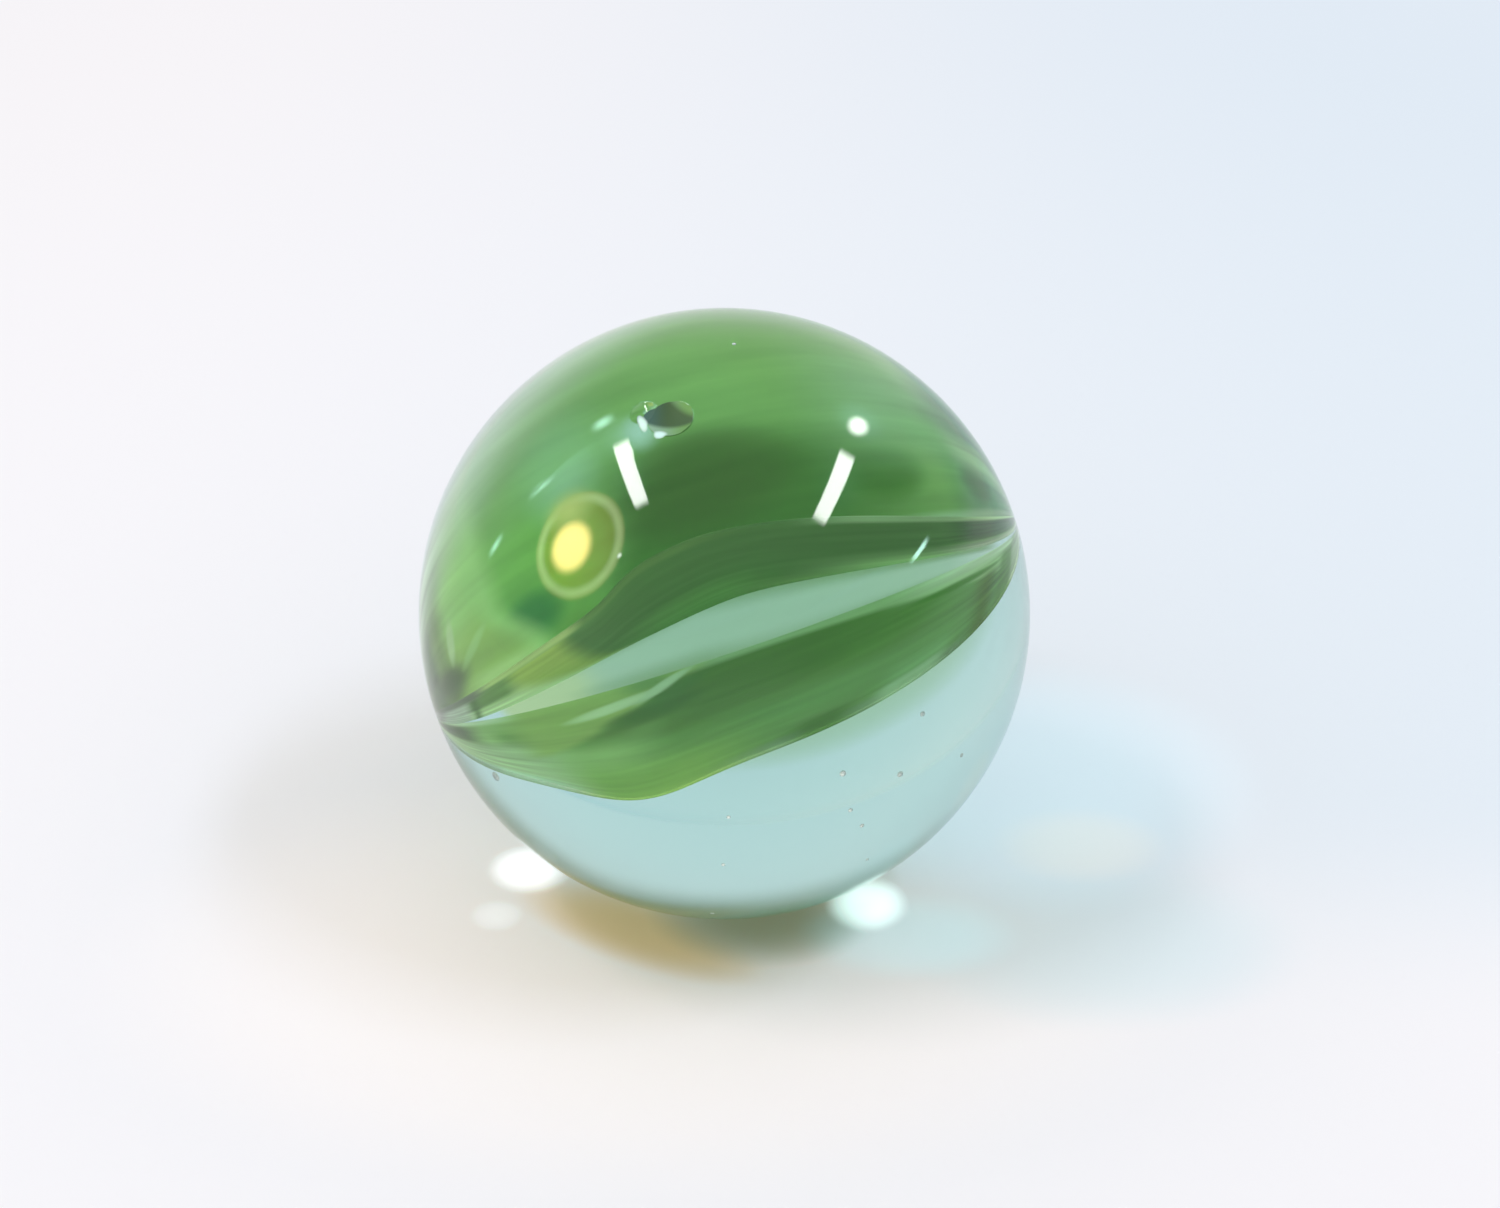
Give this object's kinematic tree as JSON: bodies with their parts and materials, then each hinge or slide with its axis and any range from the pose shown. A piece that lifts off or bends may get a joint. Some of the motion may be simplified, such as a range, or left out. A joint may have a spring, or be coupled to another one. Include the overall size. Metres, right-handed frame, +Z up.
{
  "type": "glass marble",
  "caption": "Clear glass ball with green glass vanes sealed inside, which run from pole to pole and show as a cat's eye.",
  "frame": {"origin": "centre of the glass ball", "axes": "+Z is up as the ball lies, -Y is the side it is looked at from, +X is to the right of that view; the pole axis of the vanes leans 15.6 degrees up from the horizontal and is turned 9.8 degrees from +X towards +Y"},
  "size_m": [0.016, 0.016, 0.016],
  "materials": {
    "clear_glass": "polished",
    "green_glass": "gloss"
  },
  "bodies": {
    "root": {"clear_glass": "clear_glass", "back_vane": "green_glass", "front_vane": "green_glass", "lower_vane": "green_glass"}
  },
  "joints": []
}
